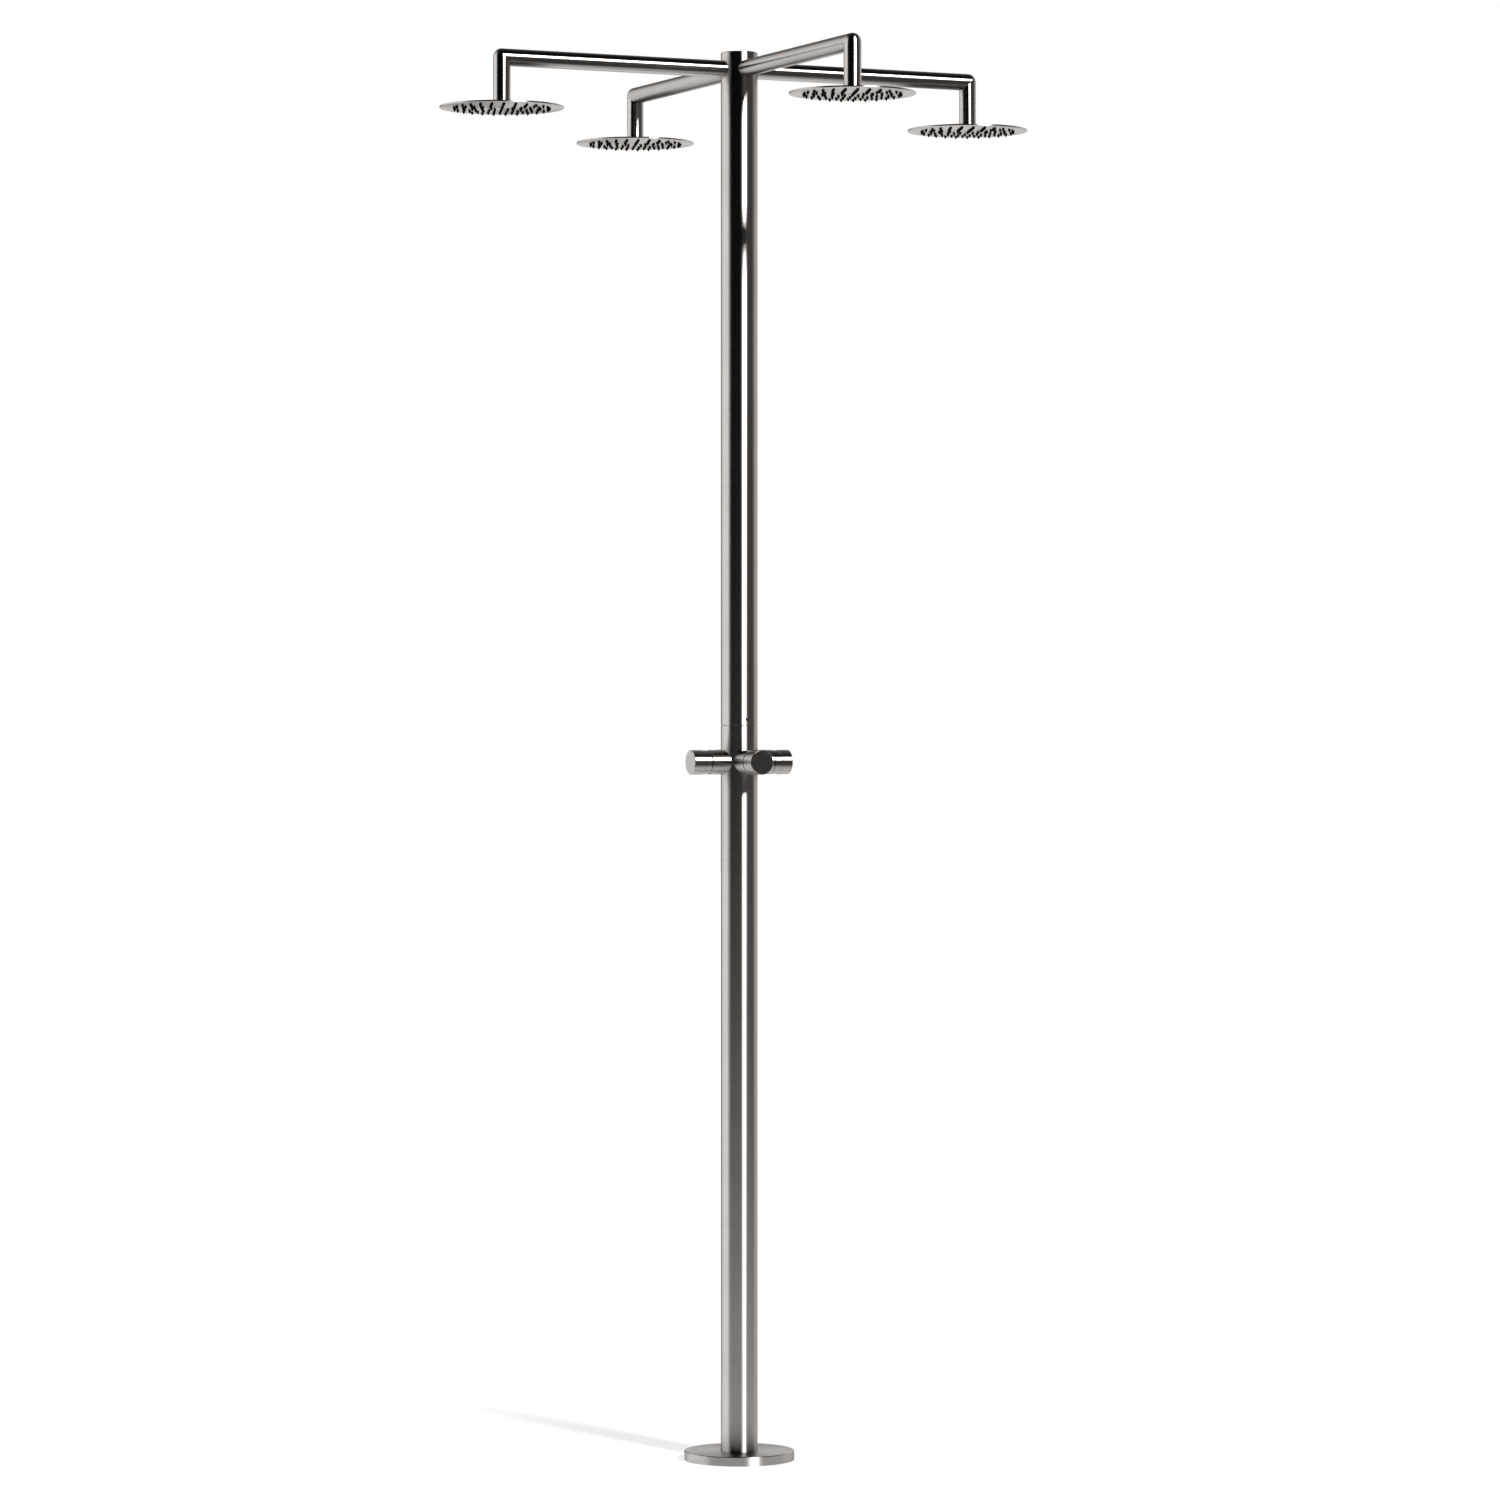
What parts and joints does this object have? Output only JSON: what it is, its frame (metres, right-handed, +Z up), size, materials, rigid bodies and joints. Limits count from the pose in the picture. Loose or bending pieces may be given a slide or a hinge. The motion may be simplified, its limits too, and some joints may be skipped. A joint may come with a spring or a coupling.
{
  "type": "outdoor shower post",
  "caption": "Free-standing shower column on a round foot, with arms near its top that each carry a flat round spray head, and a turning valve knob for each arm at waist height.",
  "frame": {"origin": "centre of the foot's underside, on the floor", "axes": "+Z up along the column; arm and valve 1 along +X, 2 along +Y, 3 along -X, 4 along -Y"},
  "size_m": [1.04, 1.04, 2.3],
  "materials": {
    "polished_steel": "mirror polished stainless steel",
    "plain_steel": "plain satin stainless steel",
    "screw_steel": "dark satin stainless steel",
    "brass": "machined brass",
    "black_rubber": "matt black silicone",
    "ceramic": "lapped ceramic"
  },
  "bodies": {
    "post": {"base_cover": "polished_steel", "cover_seal": "black_rubber", "fixing_flange": "plain_steel", "inlet_fitting": "brass", "supply_pipe": "plain_steel", "lower_column": "polished_steel", "upper_column": "polished_steel", "joint_spigot": "plain_steel", "joint_screws": "screw_steel", "top_cap": "polished_steel", "valve_manifold": "brass", "fixed_discs": "ceramic", "arm_block": "brass", "arm_nipples": "brass", "riser_1": "plain_steel", "valve_stub_1": "polished_steel", "valve_cartridge_1": "brass", "shower_arm_1": "polished_steel", "head_nipple_1": "brass", "head_shell_1": "polished_steel", "spray_plate_1": "polished_steel", "nozzle_set_1": "black_rubber", "riser_2": "plain_steel", "valve_stub_2": "polished_steel", "valve_cartridge_2": "brass", "shower_arm_2": "polished_steel", "head_nipple_2": "brass", "head_shell_2": "polished_steel", "spray_plate_2": "polished_steel", "nozzle_set_2": "black_rubber", "riser_3": "plain_steel", "valve_stub_3": "polished_steel", "valve_cartridge_3": "brass", "shower_arm_3": "polished_steel", "head_nipple_3": "brass", "head_shell_3": "polished_steel", "spray_plate_3": "polished_steel", "nozzle_set_3": "black_rubber", "riser_4": "plain_steel", "valve_stub_4": "polished_steel", "valve_cartridge_4": "brass", "shower_arm_4": "polished_steel", "head_nipple_4": "brass", "head_shell_4": "polished_steel", "spray_plate_4": "polished_steel", "nozzle_set_4": "black_rubber"},
    "knob_1": {"valve_knob_1": "polished_steel", "valve_spindle_1": "brass", "knob_screw_1": "screw_steel"},
    "knob_2": {"valve_knob_2": "polished_steel", "valve_spindle_2": "brass", "knob_screw_2": "screw_steel"},
    "knob_3": {"valve_knob_3": "polished_steel", "valve_spindle_3": "brass", "knob_screw_3": "screw_steel"},
    "knob_4": {"valve_knob_4": "polished_steel", "valve_spindle_4": "brass", "knob_screw_4": "screw_steel"}
  },
  "joints": [
    {"name": "knob_1_turn", "type": "hinge", "parent": "post", "child": "knob_1", "pos_m": [0.072, 0, 1.14], "axis": [1, 0, 0], "range_deg": [0, 90]},
    {"name": "knob_2_turn", "type": "hinge", "parent": "post", "child": "knob_2", "pos_m": [0, 0.072, 1.14], "axis": [0, 1, 0], "range_deg": [0, 90]},
    {"name": "knob_3_turn", "type": "hinge", "parent": "post", "child": "knob_3", "pos_m": [-0.072, 0, 1.14], "axis": [-1, 0, 0], "range_deg": [0, 90]},
    {"name": "knob_4_turn", "type": "hinge", "parent": "post", "child": "knob_4", "pos_m": [0, -0.072, 1.14], "axis": [0, -1, 0], "range_deg": [0, 90]}
  ]
}
